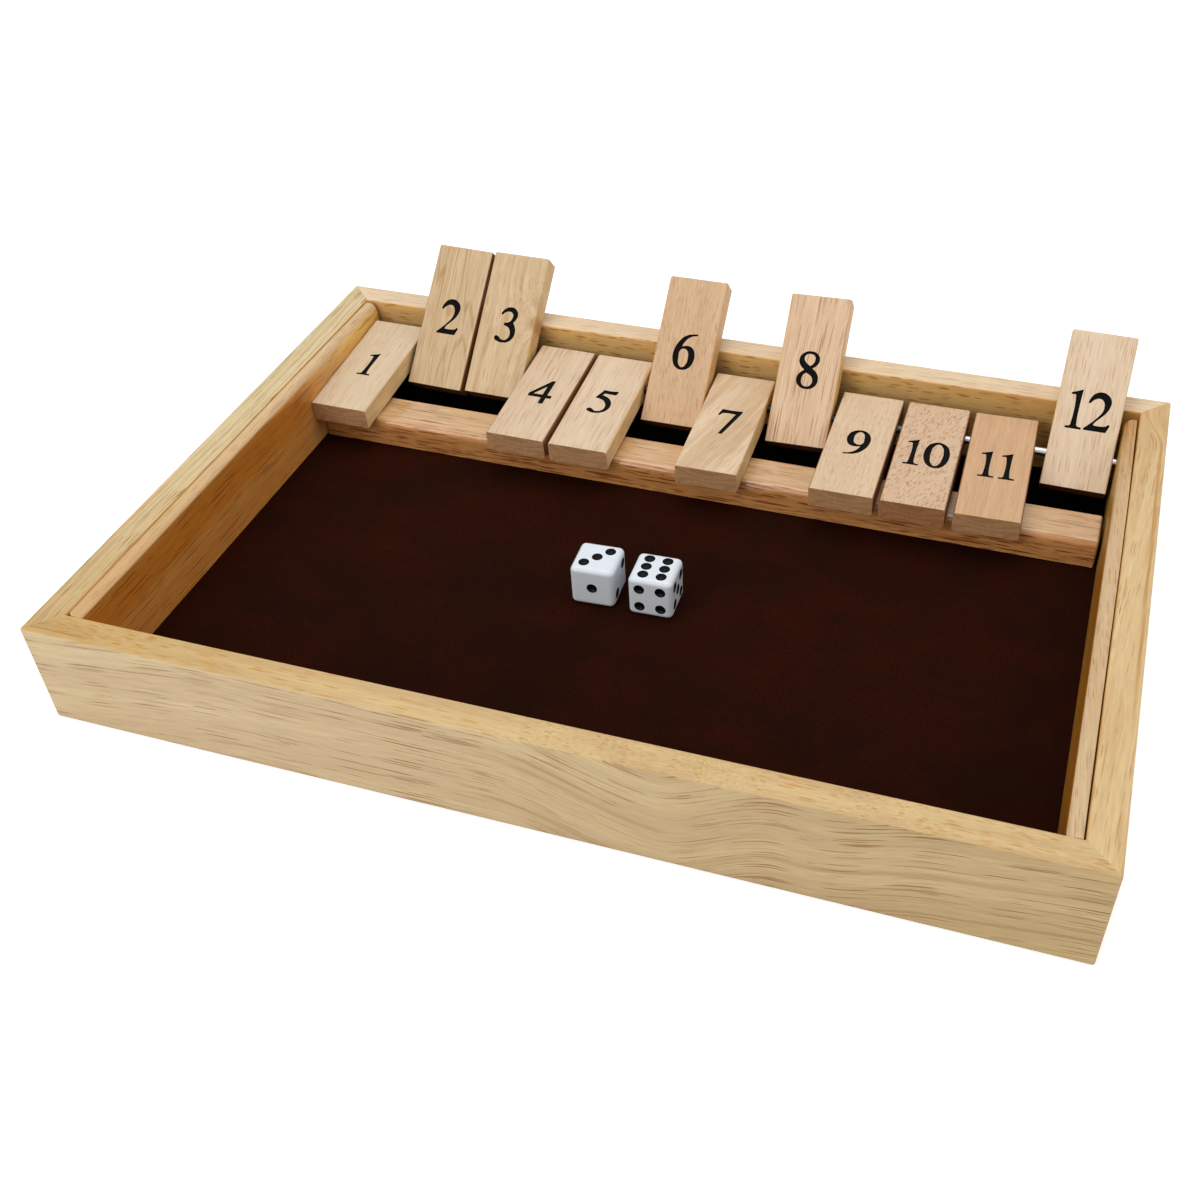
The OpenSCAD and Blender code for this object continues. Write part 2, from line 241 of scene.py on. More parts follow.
def smooth(piece):
    """Smooth rounded edges beside truly flat faces."""
    pick(piece)
    bpy.ops.object.shade_smooth_by_angle(angle=SMOOTH_ANGLE)
    apply(piece, "WEIGHTED_NORMAL", weight=100, keep_sharp=True)


def place(piece, body, slot, *nodes, at=(0, 0, 0), turn=(0, 0, 0)):
    """Brings a piece from millimetres to its place in the frame, and hands it to its body."""
    piece.matrix_world = (Matrix.Translation(Vector(at) * MM) @ Euler(turn).to_matrix().to_4x4()
        @ Matrix.Scale(MM, 4))
    settle(piece)
    smooth(piece)
    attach(piece, body)
    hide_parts(*nodes)


def along(edge, axis):
    """Does an edge run along an axis?"""
    run = edge.verts[1].co - edge.verts[0].co
    return abs(run[axis]) > 0.999 * run.length


def middle(edge):
    return (edge.verts[0].co + edge.verts[1].co) / 2


def on_top(edge, high):
    """Is an edge in a piece's top face?"""
    return middle(edge).z > high - NEAR


# ---- shader writing


class Channel:
    """A socket of numbers in a finish, that Python's operators work on by adding Math nodes."""

    def __init__(self, finish, socket):
        self.finish, self.socket = finish, socket

    def maths(self, operation, *values):
        node = self.finish.node("ShaderNodeMath", {"operation": operation},
            dict(enumerate(values)))
        return Channel(self.finish, node.outputs[0])

    def __add__(self, other):
        return self.maths("ADD", self, other)

    def __sub__(self, other):
        return self.maths("SUBTRACT", self, other)

    def __mul__(self, other):
        return self.maths("MULTIPLY", self, other)

    def __truediv__(self, other):
        return self.maths("DIVIDE", self, other)

    def __rsub__(self, other):
        return self.maths("SUBTRACT", other, self)

    def __rtruediv__(self, other):
        return self.maths("DIVIDE", other, self)

    __radd__, __rmul__ = __add__, __mul__

    def size(self):
        return self.maths("ABSOLUTE", self)

    def wave(self):
        return self.maths("SINE", self)

    def between(self, low, high):
        """0 at low, 1 at high, and a soft step between them."""
        node = self.finish.node("ShaderNodeMapRange", {"interpolation_type": "SMOOTHSTEP"},
            {"Value": self, "From Min": low, "From Max": high})
        return Channel(self.finish, node.outputs[0])


class Finish:
    """A material under construction."""

    def __init__(self, name, at=(0, 0, 0), turn=(0, 0, 0)):
        self.material = bpy.data.materials.new(name)
        self.material.use_nodes = True
        self.tree = self.material.node_tree
        self.tree.nodes.clear()
        self.at, self.turn = Vector(at), Euler(turn)

    def node(self, kind, settings=None, sockets=None):
        """Adds a node, makes its settings, and then fills or links its sockets."""
        node = self.tree.nodes.new(kind)
        for key, value in (settings or {}).items():
            setattr(node, key, value)
        for key, value in (sockets or {}).items():
            self.feed(node.inputs[key], value)
        return node

    def feed(self, socket, value):
        if isinstance(value, Channel):
            value = value.socket
        if isinstance(value, bpy.types.NodeSocket):
            self.tree.links.new(value, socket)
        else:
            socket.default_value = value

    def local(self, at=(0, 0, 0), turn=(0, 0, 0)):
        """Millimetres from a point in the frame, along sides turned from the frame's."""
        place = self.node("ShaderNodeTexCoord").outputs["Object"]
        return self.node("ShaderNodeMapping", {"vector_type": "TEXTURE"}, {
            "Vector": place, "Location": Vector(at) * MM, "Rotation": turn,
            "Scale": (MM, MM, MM)}).outputs[0]

    def own(self):
        """Millimetres from the piece's own middle, along its own sides."""
        return self.local(self.at, self.turn)

    def facing(self, direction):
        """1 where the surface faces a direction given along the piece's own sides."""
        normal = self.node("ShaderNodeTexCoord").outputs["Normal"]
        direction = self.turn.to_matrix() @ Vector(direction)
        node = self.node("ShaderNodeVectorMath", {"operation": "DOT_PRODUCT"},
            {0: normal, 1: direction})
        return Channel(self, node.outputs["Value"])

    def vector(self, operation, a, b):
        node = self.node("ShaderNodeVectorMath", {"operation": operation}, {0: a, 1: b})
        return node.outputs[0]

    def split(self, vector):
        node = self.node("ShaderNodeSeparateXYZ", None, {0: vector})
        return [Channel(self, out) for out in node.outputs]

    def build(self, x, y, z):
        return self.node("ShaderNodeCombineXYZ", None, {0: x, 1: y, 2: z}).outputs[0]

    def noise(self, vector, grain, detail=2.0, rough=0.5, twist=0.0):
        """Cloudy noise whose blobs measure grain, in millimetres each way."""
        node = self.node("ShaderNodeTexNoise", None, {
            "Vector": self.vector("DIVIDE", vector, grain), "Scale": 1.0, "Detail": detail,
            "Roughness": rough, "Distortion": twist})
        return Channel(self, node.outputs[0])

    def cells(self, vector, grain):
        """Distance to the nearest of scattered points, and two random numbers for each."""
        node = self.node("ShaderNodeTexVoronoi", None, {
            "Vector": self.vector("DIVIDE", vector, grain), "Scale": 1.0})
        return (Channel(self, node.outputs["Distance"]),
            *self.split(node.outputs["Color"])[:2])

    def pores(self, grain, crowd, length, width, share):
        """Cut pores: thin dashes along the grain, of which share stays, more where crowd is
        high. Some are fainter than others."""
        reach = 0.44
        cell = length / reach / 2, width / reach / 2, width / reach / 2
        far, lot, strength = self.cells(grain, cell)
        kept = (lot - crowd).between(share + 0.03, share - 0.03)
        return far.between(reach, reach * 0.6) * kept * (strength * 0.6 + 0.4)

    def mix(self, factor, a, b, blend="MIX"):
        node = self.node("ShaderNodeMix", {"data_type": "RGBA", "blend_type": blend},
            {0: factor, 6: a, 7: b})
        return node.outputs[2]

    def bump(self, height, depth, strength):
        """A normal from a height of 0 to 1 that stands for depth in millimetres."""
        return self.node("ShaderNodeBump", None, {
            "Height": height, "Distance": depth * MM, "Strength": strength}).outputs[0]

    def surface(self, **sockets):
        """The shader itself. Socket names are written with _ for a space."""
        shader = self.node("ShaderNodeBsdfPrincipled", None,
            {key.replace("_", " "): value for key, value in sockets.items()})
        self.node("ShaderNodeOutputMaterial", None, {"Surface": shader.outputs[0]})
        return self.material


def tone(red, green, blue):
    return (red, green, blue, 1.0)


# ---- finishes


def toward(x, y, z, low=0.4, high=0.85):
    """Where a surface faces that way, along the piece's own sides."""
    return lambda finish: finish.facing((x, y, z)).between(low, high)


def away(x, y, z):
    """Where a surface faces that way or the opposite way."""
    return lambda finish: finish.facing((x, y, z)).size().between(0.4, 0.85)


def up_from(low, high):
    """Rises from a height to another, in the frame."""
    return lambda finish: finish.split(finish.local())[2].between(low, high)


def along_x(low, high):
    """Rises along X from a place to another, in the frame."""
    return lambda finish: finish.split(finish.local())[0].between(low, high)


def along_y(low, high):
    """Rises along Y from a place to another, in the frame."""
    return lambda finish: finish.split(finish.local())[1].between(low, high)


def both(first, second):
    return lambda finish: first(finish) * second(finish)


def everywhere(finish):
    return 1.0


UP = toward(0, 0, 1)
INSIDE = toward(0, 1, 0)
OUTSIDE = toward(0, -1, 0)
# How far each piece's wood is from the next one's, so that no two have the same figure
APART = (41.3, 23.7, 67.1)
KNOT_R, KNOT_PUSH = (11, 9), 9
RING_BAND, FIBRES = 15, 0.14
# The end grain's year rings and speckles, and how dark each is beside the rest
YEAR_BAND, YEAR_COUNT, YEAR_SHADE, SPECKLE_SHADE = (60, 20, 8), 55, 0.62, 0.78


def wood(name, at, turn, seed, light, dark, pore, pores, bands, streaks, band_width=6.0,
         slant=0.0, flow=(), rise=(), veins=(), vein_tone=None, top_pore=None, knot=None,
         wander=3.0, rings=(0, 0, 0), end=tone(0.42, 0.25, 0.13), tints=(), rough=0.42,
         coat=0.08, coat_rough=0.22):
    """Lacquered hardwood with its grain along the piece's own X: soft bands, streaks, veins,
    growth rings, fine fibres, open pores as short dashes, and end grain. The grain runs over
    steps of (from, to, height): flow sideways and rise upwards."""
    finish = Finish(name, at, turn)
    raw = finish.own()
    along_grain, across, upward = finish.split(raw)
    drift = (finish.noise(finish.vector("ADD", raw, (seed * APART[0],) * 3), (75, 24, 24), 1.5)
        - 0.5) * wander
    if knot:
        over = (along_grain - knot[0]) / KNOT_R[0]
        beside = (across - knot[1]) / KNOT_R[1]
        near_knot = 1 / (over * over + beside * beside + 1)
        drift = drift + near_knot * KNOT_PUSH
    across, upward = across + drift, upward + drift * 0.6
    for low, high, step in flow:
        across = across - along_grain.between(low, high) * step
    for low, high, step in rise:
        upward = upward - along_grain.between(low, high) * step
    grain = finish.build(along_grain + seed * APART[0],
        across + along_grain * slant + seed * APART[1], upward + seed * APART[2])

    broad = finish.noise(grain, (170, band_width, band_width * 1.7), 2.0, 0.6)
    streak = finish.noise(grain, (100, 1.7, 2.6), 3.0, 0.65).between(0.3, 0.7)
    colour = finish.mix(broad.between(0.36, 0.64) * bands, light, dark)
    colour = finish.mix(streak * streaks, colour, dark)
    for axis, place, width, strength, low, high, where in veins:
        line = ((across, upward)[axis] - place).size().between(width, width * 0.2)
        half = (high - low) / 2
        line = line * (along_grain - low - half).size().between(half, half * 0.6) \
            * (streak * 0.5 + 0.5) * where(finish)
        colour = finish.mix(line * strength, colour, vein_tone or pore)

    ring_count, ring_strength, ring_thin = rings
    if ring_count:
        band = finish.noise(grain, (130, RING_BAND, RING_BAND), 1.5)
        ring = (band * ring_count).wave().between(ring_thin, 1.0)
        colour = finish.mix(ring * (streak * 0.6 + 0.4) * ring_strength, colour,
            vein_tone or pore)

    crowd = (finish.noise(grain, (42, 6, 8)) - 0.5) * 1.2
    ragged = (finish.noise(grain, (5, 1.2, 1.2), 1.0) - 0.5) * 0.35
    cut = finish.vector("ADD", grain, finish.build(0.0, ragged, ragged))
    dash = 0.0
    for length, width, share, strength, where in pores:
        dash = finish.pores(cut, crowd, length, width, share) * where(finish) * strength + dash
    hollow = finish.mix(UP(finish), pore, top_pore) if top_pore else pore
    colour = finish.mix(dash, colour, hollow)
    if knot:
        colour = finish.mix(near_knot.between(0.86, 1.0) * 0.6, colour, pore)
    fibre = finish.noise(grain, (9, 0.55, 0.55), 2.0, 0.6).between(0.3, 0.7)
    shade = fibre * FIBRES + (1 - FIBRES * 0.5)
    colour = finish.mix(1.0, colour, finish.build(shade, shade, shade), "MULTIPLY")

    speckle = finish.noise(grain, (2, 0.9, 0.9), 2.0, 0.7).between(0.3, 0.72)
    ends = finish.mix(speckle, end, tone(*(SPECKLE_SHADE * part for part in end[:3])))
    year = (finish.noise(raw, YEAR_BAND, 0.3) * YEAR_COUNT).wave().between(0.2, 1.0)
    ends = finish.mix(year * 0.55, ends, tone(*(YEAR_SHADE * part for part in end[:3])))
    colour = finish.mix(away(1, 0, 0)(finish), colour, ends)
    # Tints by facing and by place; many of them are painted shade or painted light
    for where, tint in tints:
        colour = finish.mix(where(finish), colour, finish.mix(1.0, colour, tint, "MULTIPLY"))

    relief = finish.bump(fibre * 0.5 - dash * 0.8, 0.06, 0.7)
    return finish.surface(Base_Color=colour, Normal=relief, IOR=1.45, Specular_IOR_Level=0.3,
        Roughness=fibre * 0.16 + dash * 0.15 + (rough - 0.08), Coat_Weight=coat,
        Coat_Roughness=coat_rough)


# The walls, seen from the front: the outside of each is -Y and the tray's side +Y.
# A vein is (0 across or 1 up, place, half width, strength, from, to, where), and pores are
# (length, width, share, strength, where).
WALL_WOODS = {
    "front_wall": dict(light=tone(0.735, 0.57, 0.33), dark=tone(0.6, 0.42, 0.245),
        pore=tone(0.37, 0.2, 0.075), bands=0.6, band_width=5, streaks=0.4, wander=1.5,
        rise=((-185, -95, 8), (-12, 46, -15), (42, 80, 14.5), (88, 128, 9), (120, 175, 5)),
        veins=((1, 1.4, 1.6, 0.4, -8, 50, OUTSIDE), (1, -16.6, 1.5, 0.5, -20, 50, OUTSIDE),
            (1, -13.8, 1.7, 0.4, 30, 220, OUTSIDE), (1, -31, 0.9, 0.6, 60, 220, OUTSIDE),
            (1, -11.7, 0.4, 0.9, 88, 91, OUTSIDE), (0, -2.8, 0.6, 0.6, -200, -142, UP)),
        top_pore=tone(0.58, 0.32, 0.085),
        pores=((20, 0.6, 0.36, 0.95, OUTSIDE), (44, 0.6, 0.3, 0.7, OUTSIDE),
            (7, 0.75, 0.42, 0.85, UP), (20, 0.55, 0.35, 0.75, UP))),
    "right_wall": dict(light=tone(0.84, 0.67, 0.39), dark=tone(0.72, 0.52, 0.27),
        pore=tone(0.52, 0.27, 0.075), bands=0.4, band_width=6, streaks=0.35, wander=1.5,
        slant=0.05, flow=((86, 110, 6.5),), veins=((0, -3.4, 0.9, 0.95, -80, 180, UP),),
        rings=(24, 0.3, 0.5), vein_tone=tone(0.58, 0.33, 0.1),
        pores=((18, 0.7, 0.3, 0.7, everywhere), (8, 0.6, 0.2, 0.6, everywhere))),
    "back_wall": dict(light=tone(0.86, 0.69, 0.47), dark=tone(0.74, 0.56, 0.37),
        pore=tone(0.44, 0.2, 0.045), bands=0.4, band_width=6, streaks=0.45, wander=3,
        pores=((10, 0.6, 0.5, 0.5, UP), (6, 0.9, 0.6, 0.9, INSIDE),
            (14, 0.6, 0.4, 0.7, OUTSIDE))),
    "left_wall": dict(light=tone(0.78, 0.61, 0.37), dark=tone(0.64, 0.46, 0.24),
        pore=tone(0.4, 0.23, 0.08), bands=0.4, band_width=4, streaks=0.5, wander=1.0,
        flow=((-110, -50, 1.2), (-30, 80, -2.6)),
        veins=((0, -0.45, 0.6, 0.5, -400, 400, UP), (0, 2.4, 0.4, 0.35, -400, 400, UP),
            (0, -2.9, 0.4, 0.3, -400, 400, UP), (0, 1.0, 0.35, 0.9, 66, 70.5, UP)),
        pores=((30, 0.5, 0.5, 0.75, everywhere), (12, 0.55, 0.3, 1.0, everywhere))),
}
# How the tops and some lengths of the walls are toned; the tray's side, the foot and the front
# wall's outside carry painted shade
TOP_TINTS = {"front_wall": tone(0.98, 0.91, 0.75), "right_wall": tone(0.92, 0.84, 0.75),
             "back_wall": tone(1.0, 0.96, 0.92), "left_wall": tone(1.01, 1.03, 1.0)}
# Painted shade, warm orange-brown, on the walls' faces towards the tray
INSIDE_PAINTED_SHADE = tone(0.95, 0.73, 0.385)
# Painted shade along the foot of the walls, darker towards the bottom
FOOT_PAINTED_SHADE = (up_from(1.2, 0.2), tone(0.8, 0.68, 0.55))
MORE_TINTS = {
    # Painted shade on the front wall's outside, growing towards its right end, and a little at
    # its left end
    "front_wall": ((both(OUTSIDE, along_x(-150, 220)), tone(0.88, 0.835, 0.68)),
        (both(OUTSIDE, along_x(-90, -170)), tone(0.96, 0.95, 0.9)),
        (both(UP, along_x(-40, -170)), tone(0.87, 0.8, 0.6))),
    "back_wall": ((both(INSIDE, along_x(60, 170)), tone(0.96, 0.88, 0.74)),),
    "right_wall": ((both(UP, along_y(20, 110)), tone(0.95, 0.93, 0.92)),),
    "left_wall": ((both(UP, along_y(20, -120)), tone(0.85, 0.76, 0.62)),),
}


def wall_wood(name, at, turn, seed):
    return wood(f"{name}_wood", at, turn, seed, end=tone(0.62, 0.42, 0.22), tints=(
        (UP, TOP_TINTS[name]), (INSIDE, INSIDE_PAINTED_SHADE), FOOT_PAINTED_SHADE, *MORE_TINTS[name]),
        **WALL_WOODS[name])


STRIP_VEINS = {-1: (), 1: ((0, -1.2, 0.5, 0.8, 66, 130, UP), (0, 1.1, 0.7, 0.9, 84, 130, UP),
    (0, -2.3, 0.4, 0.7, 30, 96, UP))}


def strip_wood(name, at, inward, seed):
    """Bright on top, with painted shade in orange-brown bands down the face towards the tray."""
    facing = toward(0, inward, 0, 0.75, 0.97)
    front = both(facing, along_y(62, 30))
    if inward < 0:
        more = ((both(UP, along_y(40, -110)), tone(0.91, 0.82, 0.66)),
            # Painted light: the left strip's face towards the tray is lighter towards the back
            (both(facing, along_y(60, 80)), tone(1.19, 1.26, 1.07)))
    else:
        more = ((both(UP, along_y(30, 110)), tone(0.8, 0.65, 0.4)),
            # Painted shade darkens the right strip's face towards the tray further
            (UP, tone(0.91, 0.91, 0.91)), (facing, tone(0.56, 0.57, 0.32)))
    return wood(name, at, (0, 0, math.pi / 2), seed, tone(0.77, 0.55, 0.315),
        tone(0.655, 0.42, 0.215), tone(0.42, 0.22, 0.08), bands=0.4, band_width=4, streaks=0.5,
        slant=-0.04 - 0.04 * inward, veins=STRIP_VEINS[inward], coat=0.05, pores=(
            (12, 0.5, 0.4, 0.6, UP), (6, 0.5, 0.3, 0.55, UP), (26, 0.7, 0.5, 0.9, facing),
            (9, 0.6, 0.4, 0.7, facing)), tints=(
            # Painted shade down the face towards the tray, deepest at the front and in an upper
            # band there, and a painted highlight just under the top edge
            (facing, tone(1.02, 0.84, 0.54)), (front, tone(1.02, 0.73, 0.42)),
            (both(front, up_from(BOX_H - 17, BOX_H - 13)), tone(0.94, 0.8, 0.48)),
            (both(front, up_from(BOX_H - 4.5, BOX_H - 4)), tone(0.98, 1.1, 1.5)), *more))


def rail_wood(at):
    front = toward(0, -1, 0)
    return wood("rail_varnished_wood", at, (0, 0, 0), 7, tone(0.77, 0.5, 0.26),
        tone(0.56, 0.31, 0.13), tone(0.27, 0.09, 0.025), bands=0.4, band_width=4, streaks=0.65,
        pores=((13, 0.55, 0.5, 0.8, everywhere), (38, 0.7, 0.4, 0.7, everywhere),
            (20, 0.9, 0.7, 1.0, front), (7, 0.7, 0.5, 0.9, front)),
        rough=0.3, coat=0.75, coat_rough=0.12, end=tone(0.4, 0.2, 0.09),
        # Painted warm shade on the rail's front face
        tints=((front, tone(0.97, 0.72, 0.48)),))


# What sets each tile's wood apart. Its pores are (length, width, share, strength).
TILE_WOODS = {
    1: dict(light=tone(0.74, 0.58, 0.395), dark=tone(0.63, 0.455, 0.28), bands=0.35,
        streaks=0.35, pores=((7, 0.5, 0.3, 0.5),)),
    2: dict(light=tone(0.72, 0.54, 0.335), dark=tone(0.55, 0.36, 0.18), bands=0.45,
        streaks=0.5, band_width=5, vein_tone=tone(0.44, 0.26, 0.1),
        rings=(110, 0.75, 0.5), wander=5, pores=((12, 0.5, 0.4, 0.6),)),
    3: dict(light=tone(0.77, 0.58, 0.365), dark=tone(0.6, 0.41, 0.22), bands=0.5,
        streaks=0.6, band_width=4, wander=5, knot=(-2.0, -12.0), rings=(44, 0.35, 0.4),
        pores=((7, 0.5, 0.4, 0.5),)),
    4: dict(light=tone(0.77, 0.595, 0.415), dark=tone(0.64, 0.455, 0.29), bands=0.4,
        streaks=0.45, pores=((14, 0.5, 0.5, 0.6),)),
    5: dict(light=tone(0.8, 0.62, 0.44), dark=tone(0.67, 0.48, 0.31), bands=0.35,
        streaks=0.45, pores=((16, 0.5, 0.5, 0.6),)),
    6: dict(light=tone(0.72, 0.485, 0.29), dark=tone(0.62, 0.39, 0.22), bands=0.4,
        streaks=0.45, pores=((4.5, 0.5, 0.7, 0.6),), slant=0.06),
    7: dict(light=tone(0.8, 0.61, 0.42), dark=tone(0.63, 0.43, 0.25), bands=0.8,
        streaks=0.4, pores=((7, 0.5, 0.35, 0.5),), band_width=7, wander=5,
        slant=0.3, rings=(24, 0.25, 0.3)),
    8: dict(light=tone(0.82, 0.585, 0.39), dark=tone(0.67, 0.43, 0.25), bands=0.45,
        streaks=0.5, pores=((16, 0.6, 0.6, 0.8), (34, 0.6, 0.4, 0.7))),
    9: dict(light=tone(0.745, 0.55, 0.365), dark=tone(0.67, 0.48, 0.3), bands=0.35,
        streaks=0.25, pores=((4, 0.5, 0.5, 0.45),)),
    10: dict(light=tone(0.715, 0.505, 0.335), dark=tone(0.62, 0.41, 0.255), bands=0.3,
        streaks=0.25, pores=((2.4, 0.5, 0.95, 1.0),), slant=0.35,
        end=tone(0.57, 0.26, 0.11)),
    11: dict(light=tone(0.695, 0.44, 0.25), dark=tone(0.58, 0.34, 0.175), bands=0.5,
        band_width=3, streaks=0.5, pores=((14, 0.45, 0.4, 0.4),)),
    12: dict(light=tone(0.84, 0.655, 0.475), dark=tone(0.73, 0.525, 0.34), bands=0.35,
        streaks=0.4, pores=((8, 0.5, 0.5, 0.55),)),
}
TILE_PORE = tone(0.44, 0.215, 0.085)
TILE_END = tone(0.67, 0.365, 0.175)
# The other tiles' sides are warmer, a painted warm shade
TILE_SIDE_PAINTED_SHADE = tone(1.1, 1.03, 0.76)
# Painted shade: some tiles are dark down their sides, and all are dark at the tail. Tile 1's
# sides are lighter, with painted light.
SIDE_PAINTED_SHADE_AND_LIGHT = {1: tone(1.28, 1.2, 0.92),
              **dict.fromkeys((2, 4, 9, 10, 11), tone(0.32, 0.18, 0.11))}
TAIL_PAINTED_SHADE = tone(0.2, 0.13, 0.09)


def tile_wood(number, width):
    corner, turn = tile_place(number)
    centre = corner + turn.to_matrix() @ Vector((width / 2, TILE_MIDDLE, 0))
    along_tile = turn.to_matrix() @ Euler((0, 0, math.pi / 2)).to_matrix()
    look = {"end": TILE_END, **TILE_WOODS[number]}
    look["pores"] = [(*pore, everywhere) for pore in look["pores"]]
    return wood(f"tile_{number}_wood", centre, along_tile.to_euler(), 10 + number,
        pore=TILE_PORE, rough=0.46, coat=0.04,
        tints=((away(0, 1, 0), SIDE_PAINTED_SHADE_AND_LIGHT.get(number, TILE_SIDE_PAINTED_SHADE)),
            (toward(1, 0, 0), TAIL_PAINTED_SHADE)), **look)


def black_fill():
    """The black that fills the numerals, a little uneven from the stamp."""
    finish = Finish("numeral_black")
    place = finish.local()
    patch = finish.noise(place, (0.6, 0.6, 0.6), 3.0, 0.7)
    colour = finish.mix(patch.between(0.45, 0.8), tone(0.004, 0.004, 0.004),
        tone(0.014, 0.013, 0.013))
    return finish.surface(Base_Color=colour, Roughness=patch * 0.3 + 0.4,
        Normal=finish.bump(patch, 0.05, 0.5), Specular_IOR_Level=0.035)


def leatherette():
    """Dark brown leatherette: a fine pebbled grain over slow reddish clouds."""
    finish = Finish("mat_leatherette")
    place = finish.local()
    clouds = finish.noise(place, (38, 30, 30), 4.0, 0.6, 0.6).between(0.35, 0.75)
    mottle = finish.noise(place, (7, 6, 6), 3.0, 0.6).between(0.3, 0.8)
    pebble, lot, _ = finish.cells(place, (0.9, 0.75, 0.75))
    crease = pebble.between(0.28, 0.62)
    colour = finish.mix(clouds, tone(0.02, 0.0044, 0.0014), tone(0.034, 0.0052, 0.0014))
    colour = finish.mix(mottle * 0.35, colour, tone(0.017, 0.0065, 0.004))
    colour = finish.mix(crease * 0.4, colour, tone(0.009, 0.004, 0.003))
    back = finish.split(place)[1]
    # Painted shade: near black behind the rail, where the trough lies in deep shade
    colour = finish.mix(back.between(span("tile_rail")[0].y, span("tile_rail")[1].y), colour,
        tone(0.002, 0.0015, 0.0012))
    # Painted shadow along the foot of the front wall
    colour = finish.mix(back.between(20 - TRAY_Y, -TRAY_Y) * 0.7, colour, tone(0.008, 0.001, 0))
    height = lot * 0.35 + (1 - crease) + mottle * 0.6
    return finish.surface(Base_Color=colour, Roughness=crease * 0.12 + mottle * 0.1 + 0.6,
        Normal=finish.bump(height, 0.05, 0.45), Specular_IOR_Level=0.014)


def drawn_steel():
    """Steel rod with fine rings from polishing and faint smears, bright at its right end;
    towards the left it is rougher and darkened with painted shade."""
    finish = Finish("rod_steel")
    place = finish.local((0, ROD_Y, ROD_Z))
    rings = finish.noise(place, (0.12, 6, 6))
    smear = finish.noise(place, (9, 2, 2)).between(0.4, 0.7)
    colour = finish.mix(smear * 0.3, tone(0.52, 0.52, 0.53), tone(0.36, 0.35, 0.34))
    # Painted shade: the rod darkens towards the left, and it is rougher there too
    painted_shade_and_dull = finish.split(place)[0].between(115, 60)
    colour = finish.mix(painted_shade_and_dull * 0.97, colour, tone(0.02, 0.018, 0.016))
    return finish.surface(Base_Color=colour, Metallic=1.0, Roughness=rings * 0.14 + smear * 0.08
        + painted_shade_and_dull * 0.2 + 0.14, Normal=finish.bump(rings, 0.01, 0.3))


def die_plastic():
    """Cool white polished plastic with the faintest clouding."""
    finish = Finish("die_plastic")
    cloud = finish.noise(finish.local(), (5, 5, 5))
    colour = finish.mix(cloud, tone(0.76, 0.82, 0.88), tone(0.8, 0.86, 0.92))
    return finish.surface(Base_Color=colour, Roughness=cloud * 0.06 + 0.16,
        Subsurface_Weight=0.08, Subsurface_Radius=(1.0, 0.9, 0.8), Subsurface_Scale=0.001,
        Specular_IOR_Level=0.3, Normal=finish.bump(cloud, 0.02, 0.2))


def pip_black():
    finish = Finish("pip_black")
    grain = finish.noise(finish.local(), (0.4, 0.4, 0.4))
    colour = finish.mix(grain, tone(0.003, 0.003, 0.004), tone(0.008, 0.008, 0.01))
    return finish.surface(Base_Color=colour, Roughness=grain * 0.05 + 0.03,
        Specular_IOR_Level=0.07)


def plywood():
    """The base board seen from below: a pale rotary-cut veneer."""
    finish = Finish("base_plywood")
    place = finish.local()
    figure = finish.noise(place, (140, 14, 14), 4.0, 0.6, 1.2).between(0.35, 0.7)
    fibre = finish.noise(place, (9, 0.5, 0.5))
    colour = finish.mix(figure, tone(0.6, 0.44, 0.26), tone(0.45, 0.3, 0.16))
    colour = finish.mix(0.2, colour, finish.build(fibre, fibre, fibre), "OVERLAY")
    return finish.surface(Base_Color=colour, Roughness=fibre * 0.2 + 0.6,
        Normal=finish.bump(fibre, 0.05, 0.5))


def hardboard():
    finish = Finish("hardboard")
    fluff = finish.noise(finish.local(), (1.2, 1.2, 1.2), 4.0, 0.7)
    colour = finish.mix(fluff, tone(0.12, 0.07, 0.04), tone(0.21, 0.13, 0.08))
    return finish.surface(Base_Color=colour, Roughness=fluff * 0.2 + 0.7,
        Normal=finish.bump(fluff, 0.1, 0.5))


# ---- the frame


def outside_of_box():
    """The whole box as one block with rounded corners, that the walls' outsides are cut to."""
    shape = block("outside", (-BOX_X, -BOX_Y, 0), (BOX_X, BOX_Y, BOX_H))
    ease(shape, BOX_CORNER, lambda edge: along(edge, 2), 5)
    ease(shape, WALL_EASE, lambda edge: on_top(edge, BOX_H), 4)
    ease(shape, FOOT_EASE, lambda edge: middle(edge).z < NEAR, 4)
    return shape


def make_wall(name, length, out, turn, outside, seed):
    """A wall at the front, rebated below for the base board, mitred at both ends and eased
    along the tray, then turned about the middle to its side."""
    half = length / 2
    wall = block(name, (-half, -out, BASE_T), (half, WALL_T - out, BOX_H))
    choose(wall, "FACE")
    inner = WALL_T - out - REBATE
    bpy.ops.mesh.bisect(plane_co=(0, inner, 0), plane_no=(0, 1, 0))
    choose(wall, "FACE", lambda face: face.normal.z < -0.9
           and face.calc_center_median().y < inner)
    bpy.ops.mesh.extrude_region_move(TRANSFORM_OT_translate={"value": (0, 0, -BASE_T)})
    leave()
    ease(wall, INSIDE_EASE, lambda edge: along(edge, 0) and on_top(edge, BOX_H)
         and middle(edge).y > WALL_T - out - NEAR)
    for side in (-1, 1):
        saw(wall, (side * half, -out, 0), (side, 1, 0))
    wall.rotation_euler = (0, 0, turn)
    settle(wall)
    apply(wall, "BOOLEAN", operation="INTERSECT", object=outside, solver="EXACT")
    centre = Euler((0, 0, turn)).to_matrix() @ Vector((0, WALL_T / 2 - out, BOX_H / 2))
    dress(wall, wall_wood(name, centre, (0, 0, turn), seed))
    place(wall, "tray", "frame_wood", name)


